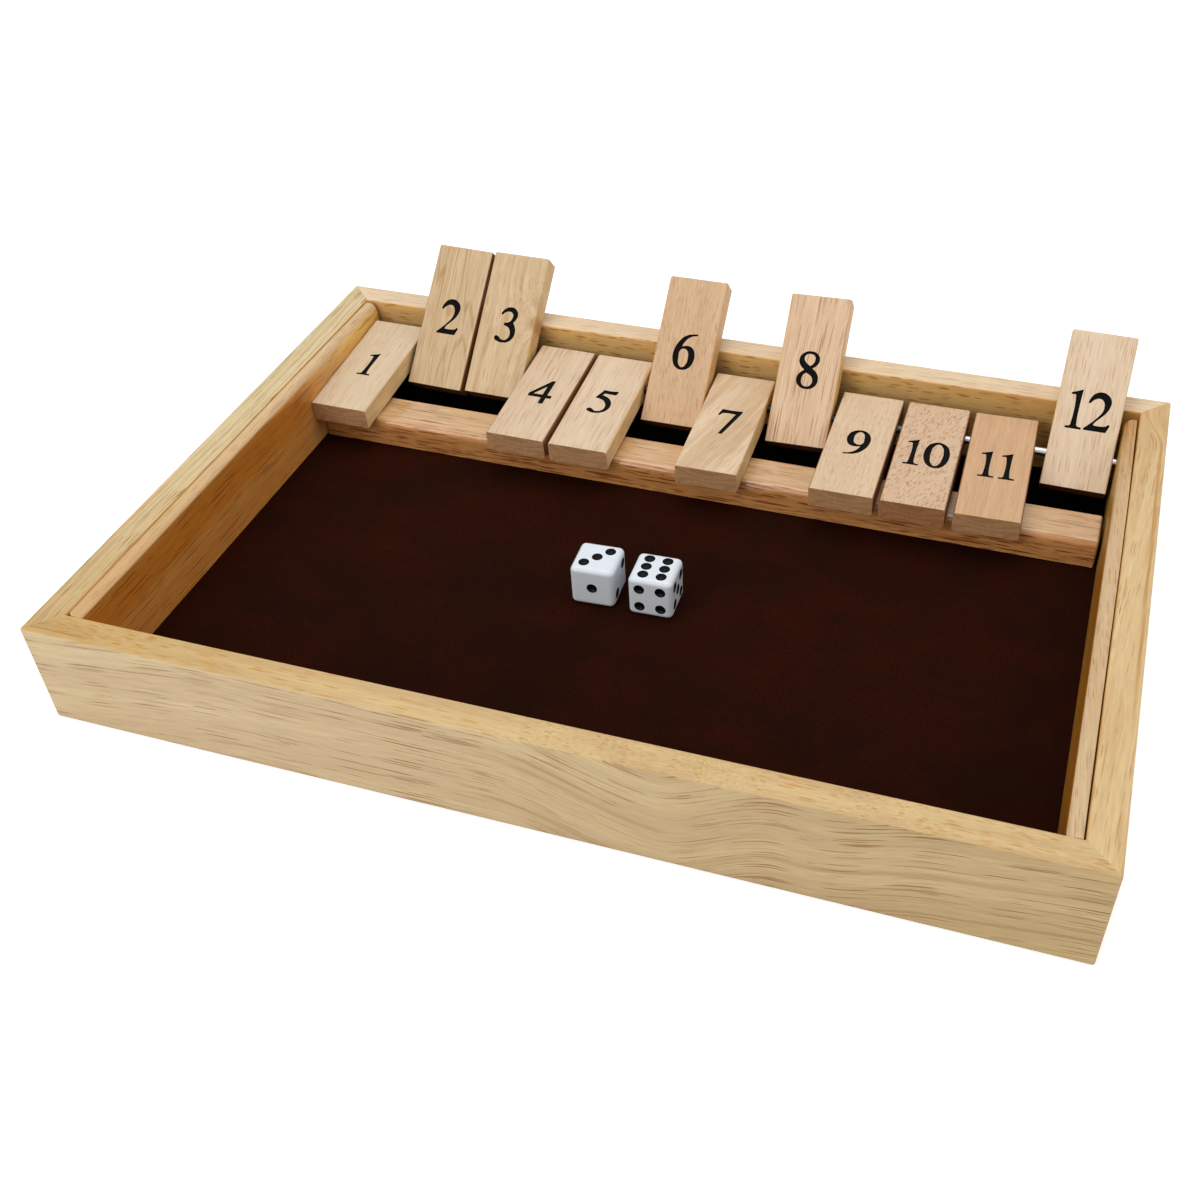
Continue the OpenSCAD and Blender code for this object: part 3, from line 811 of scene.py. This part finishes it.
def make_frame():
    outside = outside_of_box()
    for step, (name, length, out) in enumerate((
            ("front_wall", 2 * BOX_X, BOX_Y), ("right_wall", 2 * BOX_Y, BOX_X),
            ("back_wall", 2 * BOX_X, BOX_Y), ("left_wall", 2 * BOX_Y, BOX_X))):
        make_wall(name, length, out, step * math.pi / 2, outside, step + 1)
    bpy.data.objects.remove(outside)


def make_strip(side):
    """A strip that carries the rod: rounded over towards the tray, flatter at the front than at
    the back, with its back end eased, and bored for the rod."""
    name = {-1: "left_strip", 1: "right_strip"}[side]
    low, high = span(name)
    strip = block(name, low, high)
    inward = low.x if side > 0 else high.x
    thick = high.x - low.x
    radius = STRIP_R[side]
    if side < 0:
        ease(strip, STRIP_CORNER, lambda edge: along(edge, 2) and middle(edge).y < low.y + NEAR
             and abs(middle(edge).x - low.x) < NEAR, 5)
    ease(strip, radius, lambda edge: along(edge, 1) and on_top(edge, high.z)
         and abs(middle(edge).x - inward) < NEAR, 8)
    for at in STRIP_CHANGE:
        choose(strip, "FACE")
        bpy.ops.mesh.bisect(plane_co=(0, at, 0), plane_no=(0, 1, 0))
        leave()
    for scale, front, back in ((STRIP_FLATTEN, low.y, STRIP_CHANGE[0]),
            (STRIP_DEEPEN[side], STRIP_CHANGE[1], high.y)):
        choose(strip, "VERT", lambda vertex: front - NEAR < vertex.co.y < back + NEAR
               and high.z - radius - NEAR < vertex.co.z < high.z - HAIR)
        bpy.ops.transform.resize(value=(1, 1, scale), center_override=(inward, low.y, high.z))
        leave()
    for end, widen in zip((low.y, high.y), STRIP_SLITS[side]):
        choose(strip, "VERT", lambda vertex: abs(vertex.co.y - end) < NEAR
               and abs(vertex.co.x - inward) > thick - 10 * NEAR)
        bpy.ops.transform.translate(value=(-side * widen, 0, 0))
        leave()
    ease(strip, STRIP_EASE, lambda edge: on_top(edge, high.z) and not along(edge, 0)
         and abs(middle(edge).x - inward) > thick - 40 * NEAR, 2)
    ease(strip, STRIP_END_EASE, lambda edge: middle(edge).y > high.y - NEAR
         and middle(edge).z > high.z - radius * STRIP_DEEPEN[side] + 10 * NEAR, 5)
    finish = strip_wood(f"{name}_wood", (low + high) / 2, side, 21 + side)
    dress(strip, finish)
    carve(strip, drill(ROD_R + STRIP_BORE_PLAY, (low.x - 1, ROD_Y, ROD_Z),
        (high.x + 1, ROD_Y, ROD_Z), finish))
    place(strip, "tray", "strip_wood", name)


# The rail was glued in a little out of square
RAIL_TURN = math.radians(-0.18)


def make_rail():
    """The rail that the shut tiles rest on, rounded over in front."""
    low, high = span("tile_rail")
    rail = block("tile_rail", low, high)
    ease(rail, RAIL_R, lambda edge: along(edge, 0) and on_top(edge, high.z)
         and middle(edge).y < low.y + NEAR, 8)
    choose(rail, "VERT", lambda vertex: high.z - RAIL_R - NEAR < vertex.co.z < high.z - HAIR)
    bpy.ops.transform.resize(value=(1, 1, RAIL_DEEPEN), center_override=(0, low.y, high.z))
    leave()
    ease(rail, RAIL_BACK_EASE, lambda edge: along(edge, 0) and on_top(edge, high.z)
         and middle(edge).y > high.y - NEAR)
    ease(rail, RAIL_END_EASE, lambda edge: not along(edge, 0)
         and abs(middle(edge).x) > high.x - 2 and middle(edge).z > low.z + 0.5, 4)
    dress(rail, rail_wood((low + high) / 2))
    place(rail, "tray", "rail_wood", "tile_rail", turn=(0, 0, RAIL_TURN))


def make_rod():
    low, high = span("hinge_rod")
    deselect()
    bpy.ops.mesh.primitive_cylinder_add(vertices=40, radius=ROD_R, depth=high.x - low.x,
        location=(0, ROD_Y, ROD_Z), rotation=(0, math.pi / 2, 0))
    rod = settle(bpy.context.object)
    rod.name = "hinge_rod"
    ease(rod, ROD_EASE, lambda edge: abs(abs(middle(edge).x) - high.x) < NEAR
         and abs(edge.verts[0].co.x - edge.verts[1].co.x) < NEAR, 2)
    dress(rod, drawn_steel())
    place(rod, "tray", "rod_steel", "hinge_rod")


def make_mat():
    """The leatherette: laid flat, with its cut edges rolled under and a slight waver."""
    low, high = span("playing_mat")
    mat = block("playing_mat", low, high)
    choose(mat, "FACE", lambda face: face.normal.z > 0.9)
    bpy.ops.mesh.subdivide(number_cuts=MAT_CUTS)
    leave()
    waver = random.Random(4)
    humps = [(waver.uniform(low.x, high.x), waver.uniform(low.y, high.y),
              waver.uniform(18, 40), waver.uniform(0.02, 0.07)) for _ in range(MAT_HUMPS)]
    for vertex in mat.data.vertices:
        if vertex.co.z > high.z - NEAR:
            edge = min(high.x - abs(vertex.co.x), high.y - abs(vertex.co.y))
            dip = sum(depth * math.exp(-((vertex.co.x - x) ** 2 + (vertex.co.y - y) ** 2)
                / wide ** 2) for x, y, wide, depth in humps)
            vertex.co.z -= min(dip, MAT_DIP) + MAT_ROLL * max(0, 1 - edge / MAT_ROLL_W) ** 2
    dress(mat, leatherette())
    place(mat, "tray", "mat_leatherette", "playing_mat")


def make_base():
    """The base board let into the walls, its lower edges broken with a few strokes of paper."""
    low, high = span("base_board")
    base = block("base_board", low, high)
    ease(base, BASE_EASE, lambda edge: middle(edge).z < NEAR, 2)
    dress(base, plywood())
    place(base, "tray", "base_ply", "base_board")


# ---- the numerals

# Outlines of the digits, 100 high. Each point is (across, up, sharp): sharp points are
# corners, and the outline curves through the others. The outside comes first, then the holes.
ONE = [[(0, 86.5, 1), (0.5, 90, 1), (13, 94.5, 0), (25.5, 100, 1), (24.5, 85, 0), (24.5, 15, 0),
    (26.5, 6.5, 0), (37.5, 3.5, 1), (37.5, 0, 1), (0, 0, 1), (0, 3.5, 1), (10.5, 6, 0),
    (12.5, 15, 0), (12.5, 78, 0), (10, 86.5, 0)]]
TWO = [[(0, 71.5, 1), (4, 84, 0), (14, 96, 0), (28, 100, 0), (43, 95, 0), (52.5, 83, 0),
    (53, 69, 0), (46, 51, 0), (34, 36, 0), (21, 19.5, 0), (20, 14, 1), (40, 14, 0),
    (52, 16.5, 0), (57.5, 21.5, 1), (60, 19, 1), (53.5, 1.5, 1), (0, 1, 1), (0, 4, 1),
    (13, 17, 0), (27, 33.5, 0), (38, 51, 0), (40, 66, 0), (36, 79, 0), (26, 85, 0), (13, 81, 0),
    (3, 70, 1)]]
THREE = [[(6.5, 80, 1), (14, 92, 0), (31, 100, 0), (47, 95, 0), (54.5, 80, 0), (51, 67, 0),
    (45, 58, 1), (53, 46, 0), (56.5, 31, 0), (53, 16, 0), (42, 4, 0), (26, 0, 0), (10, 2, 0),
    (1, 8, 0), (3, 15.5, 0), (10, 14.5, 0), (20, 7, 0), (31, 6, 0), (41, 14, 0), (43.5, 28, 0),
    (39, 40, 0), (31, 46, 0), (21, 49, 1), (20, 53.5, 1), (35, 59, 0), (42, 71, 0), (40, 84, 0),
    (29, 89, 0), (17, 85, 0), (9, 77.5, 1)]]
FOUR = [[(45, 100, 1), (52, 100, 1), (51.5, 36, 1), (65, 36, 1), (65, 25, 1), (51.5, 25, 1),
    (51.5, 0, 1), (39.5, 0, 1), (39.5, 25, 1), (1, 25, 1), (0, 36, 1)], [(11, 36, 1),
    (39.5, 36, 1), (39.5, 76, 1)]]
FIVE = [[(20.5, 98.5, 1), (40, 97.5, 0), (57.5, 100, 1), (60, 98, 1), (57, 85, 1), (25, 86, 1),
    (21, 76, 1), (36, 71, 0), (50, 58, 0), (56.5, 40, 0), (55, 22, 0), (44, 7, 0), (27, 0, 0),
    (10, 2, 0), (0.5, 9, 0), (4, 16, 0), (12, 14.5, 0), (21, 7.5, 0), (33, 8, 0), (42, 16, 0),
    (45, 29, 0), (40, 46, 0), (28, 58, 0), (7, 64, 1)]]
SIX = [[(57, 100, 1), (57.5, 97, 1), (40, 92, 0), (26, 78, 0), (19, 61, 1), (34, 65, 0),
    (49, 61, 0), (58, 46, 0), (58.5, 25, 0), (50, 8, 0), (31, 0, 0), (13, 6, 0), (2, 25, 0),
    (1, 48, 0), (10, 74, 0), (28, 93, 0)], [(18, 54, 0), (28, 58, 0), (39, 52, 0),
    (43.5, 35, 0), (41, 15, 0), (31, 5.5, 0), (21, 11, 0), (15.5, 31, 0)]]
SEVEN = [[(7, 100, 1), (32, 98.5, 0), (61, 100, 1), (60, 92, 1), (30.5, 0, 1), (21.5, 0, 1),
    (47, 86, 1), (20, 86.5, 0), (9, 83, 0), (4.5, 75, 1), (1, 76.5, 1)]]
EIGHT = [[(27, 100, 0), (45, 94.5, 0), (52.5, 81, 0), (48, 66, 0), (36, 55.5, 1), (51, 43, 0),
    (56.5, 26, 0), (50, 8, 0), (29, 0, 0), (9, 7, 0), (1, 22, 0), (6, 39, 0), (18, 50, 1),
    (5, 62, 0), (0, 77, 0), (8, 93, 0)], [(27, 94.5, 0), (39, 90, 0), (42.5, 79, 0),
    (38, 67, 0), (31, 60, 1), (16, 71, 0), (11.5, 82, 0), (17, 92, 0)], [(23, 44, 1),
    (40, 33, 0), (44, 20, 0), (39, 9, 0), (28, 5, 0), (16, 10, 0), (12.5, 23, 0), (15, 36, 0)]]
ZERO = [[(31, 100, 0), (49, 92, 0), (60, 71, 0), (62.5, 47, 0), (57, 19, 0), (45, 3.5, 0),
    (32, 0, 0), (14, 8, 0), (3, 29, 0), (0, 53, 0), (5, 80, 0), (16, 95, 0)], [(31, 94, 0),
    (42, 85, 0), (47.5, 65, 0), (48, 42, 0), (43, 17, 0), (32, 6, 0), (22, 14, 0),
    (15.5, 38, 0), (15, 60, 0), (20, 85, 0)]]
# A nine is a six turned upside down
NINE = [[(58.5 - x, 100 - y, sharp) for x, y, sharp in path] for path in SIX]
DIGITS = [ZERO, ONE, TWO, THREE, FOUR, FIVE, SIX, SEVEN, EIGHT, NINE]
DIGIT_W = [62.5, 37.5, 60, 56.5, 65, 60, 58.5, 61, 56.5, 58.5]
DIGIT_SIDE = [2, 6.5, 1, 3, 2, 3, 2, 3, 3, 2]


def numeral_cutter(number, black):
    """A number as a solid about the origin, to be taken out of a tile's face."""
    digits = [int(digit) for digit in str(number)]
    width = sum(DIGIT_W[digit] + 2 * DIGIT_SIDE[digit] for digit in digits)
    flat = bpy.data.curves.new("numeral", "CURVE")
    flat.dimensions = "2D"
    flat.fill_mode = "BOTH"
    flat.resolution_u = 6
    flat.extrude = NUMERAL_CUT
    flat.offset = NUMERAL_BOLD
    start = -width / 2
    scale = NUMERAL_H / 100
    for digit in digits:
        for path in DIGITS[digit]:
            spline = flat.splines.new("BEZIER")
            spline.bezier_points.add(len(path) - 1)
            spline.use_cyclic_u = True
            for point, (x, y, sharp) in zip(spline.bezier_points, path):
                x += start + DIGIT_SIDE[digit]
                point.co = (x * scale, (y - 50) * scale, 0)
                point.handle_left_type = point.handle_right_type = ("VECTOR" if sharp
                    else "AUTO")
        start += DIGIT_W[digit] + 2 * DIGIT_SIDE[digit]
    cutter = bpy.data.objects.new("numeral", flat)
    bpy.context.scene.collection.objects.link(cutter)
    pick(cutter)
    bpy.ops.object.convert(target="MESH")
    cutter = bpy.context.object
    choose(cutter, "FACE")
    bpy.ops.mesh.remove_doubles(threshold=HAIR)
    bpy.ops.mesh.normals_make_consistent(inside=False)
    leave()
    dress(cutter, black)
    return cutter


# How far a tile's sawn ends are rounded over, and each tile's long edges
SAWN_EASE = 0.3
TILE_EASE = {1: 0.6, 2: 0.8, 3: 0.8, 4: 1.1, 5: 1.1, 6: 0.8, 7: 0.6, 8: 0.8, 9: 0.9, 10: 1.1,
             11: 1.0, 12: 0.8}
# How far out of square each tile was bored, in degrees, and how far off its mark
TILE_SKEW = {1: -0.5, 2: 1.2, 3: 0.5, 4: -0.6, 7: 0.4, 8: -1.3, 10: 0.4, 11: 1.4, 12: 0.7}
TILE_SLIP = {1: -0.5, 2: -0.3, 3: -0.15, 4: -0.4, 6: -0.3, 7: 0.35, 8: -0.5, 9: 0.3, 10: 0.4,
             11: 0.5, 12: -0.25}


def make_tile(number, black):
    """A tile made flat with its rod hole at the origin, then turned about the rod."""
    name = f"tile_{number}"
    low, high = span(name)
    width = high.x - low.x
    head, tail = TILE_TAIL - TILE_L, TILE_TAIL
    tile = block(name, (0, head, -TILE_T / 2), (width, tail, TILE_T / 2))
    ease(tile, TILE_EASE[number], lambda edge: along(edge, 1) or (number in RAISED
         and middle(edge).y < head + NEAR))
    ease(tile, SAWN_EASE, lambda edge: not along(edge, 1) and (middle(edge).y > tail - NEAR
         or number not in RAISED and middle(edge).y < head + NEAR), 2)
    finish = tile_wood(number, width)
    dress(tile, finish, black)
    for turn in (0, math.pi):
        cutter = numeral_cutter(number, black)
        face = Euler((turn, 0, 0)).to_matrix()
        cutter.location = Vector((width / 2, TILE_MIDDLE, 0)) + face @ Vector((0, 0, TILE_T / 2))
        cutter.rotation_euler = (turn, 0, 0)
        carve(tile, settle(cutter))
    tile.matrix_world = (Matrix.Translation((width / 2, 0, 0))
        @ Matrix.Rotation(math.radians(TILE_SKEW.get(number, 0)), 4, "Z")
        @ Matrix.Translation((-width / 2, -TILE_SLIP.get(number, 0), 0)))
    settle(tile)
    carve(tile, drill(ROD_R + TILE_BORE_PLAY, (-1, 0, 0), (width + 1, 0, 0), finish))
    corner, turn = tile_place(number)
    place(tile, name, "tile_wood", name, at=corner, turn=turn)


# ---- the dice

PIPS = {1: [(0, 0)], 2: [(-1, -1), (1, 1)], 4: [(x, y) for x in (-1, 1) for y in (-1, 1)]}
PIPS[3] = PIPS[2] + PIPS[1]
PIPS[5] = PIPS[4] + PIPS[1]
# The rows of the six stand closer together and reach further
PIPS[6] = [(0.87 * x, 1.15 * y) for x in (-1, 1) for y in (-1, 0, 1)]
FACE_TURNS = [(0, 0, 0), (90, 0, 0), (90, 0, 90), (90, 0, 180), (90, 0, 270), (180, 0, 0)]
DIE_S, DIE_EASE = 16, 2.0
PIP_D, PIP_CUT, PIP_PITCH = 3.9, 1.1, 3.8


def make_die(name, top, front, right, turn, white, black):
    """A die with its numbers on the top, front and right, and their sevens opposite."""
    low, high = span(name)
    half = DIE_S / 2
    die = block(name, (-half,) * 3, (half,) * 3)
    ease(die, DIE_EASE, lambda edge: True, 6)
    dress(die, white, black)
    ball = (PIP_D ** 2 / 4 + PIP_CUT ** 2) / (2 * PIP_CUT)
    numbers = (top, front, right, 7 - front, 7 - right, 7 - top)
    cutters = []
    for number, degrees in zip(numbers, FACE_TURNS):
        facing = Euler([math.radians(value) for value in degrees]).to_matrix()
        for x, y in PIPS[number]:
            deselect()
            bpy.ops.mesh.primitive_uv_sphere_add(segments=40, ring_count=20, radius=ball,
                location=facing @ Vector((x * PIP_PITCH, y * PIP_PITCH, half + ball - PIP_CUT)),
                rotation=facing.to_euler())
            cutters.append(settle(bpy.context.object))
    cutter = join(cutters)
    dress(cutter, black)
    carve(die, cutter)
    place(die, name, "die_plastic", name, at=(low + high) / 2,
        turn=(0, 0, math.radians(turn)))


# ---- studio

# Sizes and places in metres, turns in degrees
FLOOR_SIZE, FLOOR_TONE, FLOOR_GLOW = 8, tone(0.86, 0.86, 0.86), 0.5
SURROUND_LIGHT = 0.405
# Where each lamp is, what it points at, its size and its power
LAMPS = {
    "overhead": ((-0.1, 0.1, 1.3), (0, 0, 0), (1.2, 0.9), 7.4),
    "front": ((-0.6, -1.1, 0.7), (-0.05, 0, 0), (0.8, 0.6), 6.15),
    "right": ((1.1, 0, 0.8), (0, 0, 0), (0.7, 0.7), 2.1),
}
CAMERA_AT, CAMERA_TURN = (0.1318, -0.3678, 0.3298), (47.08, 1.386, 18.077)
CAMERA_LENS, CAMERA_SHIFT = 41.57, (-0.0452, 0.0487)
NEAREST_SEEN = 0.01


def sees_white(tree):
    """1 for rays straight from the camera, off a shiny surface or through a clear one."""
    path = tree.nodes.new("ShaderNodeLightPath")
    seen = path.outputs["Is Camera Ray"]
    for kind in ("Is Glossy Ray", "Is Transmission Ray"):
        either = tree.nodes.new("ShaderNodeMath")
        either.operation = "MAXIMUM"
        tree.links.new(seen, either.inputs[0])
        tree.links.new(path.outputs[kind], either.inputs[1])
        seen = either.outputs[0]
    return seen


def make_studio():
    """A plain white floor that keeps a soft shadow, and a white surround."""
    finish = Finish("floor_white")
    paint = finish.node("ShaderNodeBsdfDiffuse", None, {"Color": FLOOR_TONE})
    glow = finish.node("ShaderNodeEmission", None,
        {"Color": tone(1, 1, 1), "Strength": FLOOR_GLOW})
    lit_paint = finish.node("ShaderNodeAddShader", None,
        {0: paint.outputs[0], 1: glow.outputs[0]})
    shown = finish.node("ShaderNodeMixShader", None,
        {0: sees_white(finish.tree), 1: paint.outputs[0], 2: lit_paint.outputs[0]})
    finish.node("ShaderNodeOutputMaterial", None, {"Surface": shown.outputs[0]})
    deselect()
    bpy.ops.mesh.primitive_plane_add(size=FLOOR_SIZE)
    floor = bpy.context.object
    floor.name = "floor"
    floor.data.materials.append(finish.material)

    world = bpy.data.worlds.new("surround")
    world.use_nodes = True
    bpy.context.scene.world = world
    tree = world.node_tree
    tree.nodes.clear()
    strength = tree.nodes.new("ShaderNodeMapRange")
    strength.inputs["To Min"].default_value = SURROUND_LIGHT
    tree.links.new(sees_white(tree), strength.inputs["Value"])
    light = tree.nodes.new("ShaderNodeBackground")
    light.inputs["Color"].default_value = (1, 1, 1, 1)
    tree.links.new(strength.outputs[0], light.inputs["Strength"])
    output = tree.nodes.new("ShaderNodeOutputWorld")
    tree.links.new(light.outputs[0], output.inputs["Surface"])


def lamp(name, at, target, size, power):
    """A soft lamp that points at a target."""
    data = bpy.data.lights.new(name, "AREA")
    data.shape = "RECTANGLE"
    data.size, data.size_y = size
    data.energy = power
    light = bpy.data.objects.new(name, data)
    bpy.context.scene.collection.objects.link(light)
    light.location = at
    light.rotation_euler = (Vector(target) - Vector(at)).to_track_quat("-Z", "Y").to_euler()


def make_camera():
    data = bpy.data.cameras.new("camera")
    data.lens = CAMERA_LENS
    data.sensor_width = 36
    data.shift_x, data.shift_y = CAMERA_SHIFT
    data.clip_start = NEAREST_SEEN
    camera = bpy.data.objects.new("camera", data)
    camera.location = CAMERA_AT
    camera.rotation_euler = [math.radians(angle) for angle in CAMERA_TURN]
    bpy.context.scene.collection.objects.link(camera)
    bpy.context.scene.camera = camera


# ---- the game


make_camera()
make_studio()
for name, settings in LAMPS.items():
    lamp(name, *settings)

make_frame()
make_strip(-1)
make_strip(1)
make_base()
make_mat()
make_rail()
make_rod()
dress(frame["nodes"]["mat_board"], hardboard())

numeral_black = black_fill()
for number in range(1, 13):
    make_tile(number, numeral_black)

white_plastic, black_pips = die_plastic(), pip_black()
make_die("die_left", 3, 1, 2, 2.7, white_plastic, black_pips)
make_die("die_right", 6, 4, 5, 1.9, white_plastic, black_pips)

bpy.context.scene.view_settings.view_transform = "Standard"
